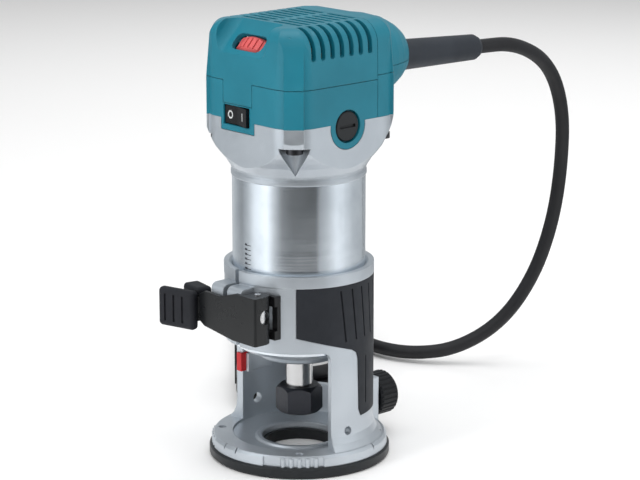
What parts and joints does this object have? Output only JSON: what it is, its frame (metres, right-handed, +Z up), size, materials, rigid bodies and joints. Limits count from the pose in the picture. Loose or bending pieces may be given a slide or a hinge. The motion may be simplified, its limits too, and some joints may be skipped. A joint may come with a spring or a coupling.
{
  "type": "trim router",
  "caption": "Palm trim router: round motor unit with square head, held in a clamping base with lock lever, side grips, cutter window, collet, and a folded mains cord.",
  "frame": {"origin": "centre of the sub-base bore, on its lower face", "axes": "+Z up along the spindle, -Y towards the switch, dial and lock lever, +Y towards the cord, +X to the right of someone facing the switch"},
  "size_m": [0.2403, 0.2638, 0.2179],
  "materials": {
    "black_sub_base": "moulded satin",
    "zinc_steel": "zinc plated",
    "cast_alloy": "silver paint on die casting",
    "grip_rubber": "overmoulded",
    "red_plastic": "glossy",
    "black_metal": "black oxide",
    "black_plastic": "satin",
    "bright_steel": "bright",
    "lever_black": "semi gloss",
    "lever_rubber": "matt",
    "knob_black": "satin",
    "tube_alloy": "turned and polished",
    "bearing_steel": "ground",
    "black_screw": "black zinc",
    "teal_plastic": "fine moulded texture",
    "guard_rubber": "moulded",
    "lamination_steel": "laminated",
    "copper_wire": "enamelled wire",
    "copper_bar": "copper segments",
    "control_board": "circuit board",
    "spindle_steel": "ground",
    "fan_plastic": "moulded",
    "black_oxide": "black oxide",
    "rocker_black": "glossy",
    "dial_red": "moulded",
    "cord_rubber": "rubber sheath",
    "tie_black": "strap",
    "plug_black": "moulded",
    "plug_brass": "plated",
    "cap_black": "moulded",
    "holder_brass": "drawn",
    "carbon": "carbon"
  },
  "bodies": {
    "base": {"sub_base": "black_sub_base", "sub_base_screws": "zinc_steel", "base_casting": "cast_alloy", "grip_right": "grip_rubber", "grip_left": "grip_rubber", "depth_pointer": "red_plastic", "thrust_plate": "black_metal", "lever_stop": "black_plastic", "lever_pin": "bright_steel", "eye_bolt": "bright_steel", "clamp_nut": "bright_steel", "cord_tube": "cord_rubber", "cord_hank": "cord_rubber", "cord_tie": "tie_black", "plug_body": "plug_black", "plug_pins": "plug_brass"},
    "lever": {"lock_lever": "lever_black", "lever_grip": "lever_rubber"},
    "thumb_washer": {"thumb_washer": "bright_steel"},
    "thumb_screw": {"thumb_screw": "knob_black"},
    "motor": {"motor_tube": "tube_alloy", "nose_cap": "cast_alloy", "lower_bearing": "bearing_steel", "upper_bearing": "bearing_steel", "motor_casting": "cast_alloy", "casting_screws": "black_screw", "head_housing": "teal_plastic", "top_cover": "teal_plastic", "rear_cover_upper": "teal_plastic", "rear_cover_lower": "teal_plastic", "cord_guard": "guard_rubber", "brush_cap_left": "cap_black", "brush_cap_right": "cap_black", "brush_holder_left": "holder_brass", "brush_holder_right": "holder_brass", "carbon_brush_left": "carbon", "carbon_brush_right": "carbon", "brush_spring_left": "bright_steel", "brush_spring_right": "bright_steel", "stator_core": "lamination_steel", "field_coils": "copper_wire", "switch_body": "black_plastic", "speed_controller": "control_board", "dial_holder": "black_plastic"},
    "spindle": {"spindle": "spindle_steel", "armature_core": "lamination_steel", "armature_windings": "copper_wire", "commutator": "copper_bar", "fan": "fan_plastic"},
    "collet": {"collet": "bright_steel"},
    "collet_nut": {"collet_nut": "black_oxide"},
    "rocker": {"rocker": "rocker_black"},
    "speed_dial": {"speed_dial": "dial_red"}
  },
  "joints": [
    {"name": "motor_depth", "type": "slide", "parent": "base", "child": "motor", "axis": [0, 0, 1], "range_m": [-0.011, 0.028]},
    {"name": "lock_lever_swing", "type": "hinge", "parent": "base", "child": "lever", "pos_m": [0.015, -0.04, 0.0785], "axis": [0, 0, 1], "range_deg": [0, 90]},
    {"name": "thumb_screw_travel", "type": "slide", "parent": "base", "child": "thumb_washer", "axis": [0, 1, 0], "range_m": [0, 0.004]},
    {"name": "thumb_screw_turn", "type": "hinge", "parent": "thumb_washer", "child": "thumb_screw", "pos_m": [0, 0.05, 0.0185], "axis": [0, 1, 0], "range_deg": [0, 1440]},
    {"name": "spindle_spin", "type": "hinge", "parent": "motor", "child": "spindle", "pos_m": [0, 0, 0.1], "axis": [0, 0, 1], "continuous": true},
    {"name": "collet_travel", "type": "slide", "parent": "spindle", "child": "collet", "axis": [0, 0, -1], "range_m": [0, 0.00375]},
    {"name": "collet_nut_turn", "type": "hinge", "parent": "collet", "child": "collet_nut", "pos_m": [0, 0, 0.0295], "axis": [0, 0, -1], "range_deg": [0, 900]},
    {"name": "rocker_switch", "type": "hinge", "parent": "motor", "child": "rocker", "pos_m": [-0.0055, -0.0318, 0.1735], "axis": [0, 0, 1], "range_deg": [0, 14]},
    {"name": "speed_dial_turn", "type": "hinge", "parent": "motor", "child": "speed_dial", "pos_m": [-0.0019, -0.01915, 0.19878], "axis": [0, 0.6845, 0.729], "range_deg": [0, 300]}
  ],
  "couplings": [
    {"joint": "thumb_screw_turn", "follows": "thumb_screw_travel", "rad_per_m": 6283.2},
    {"joint": "collet_nut_turn", "follows": "collet_travel", "rad_per_m": 4188.8}
  ]
}
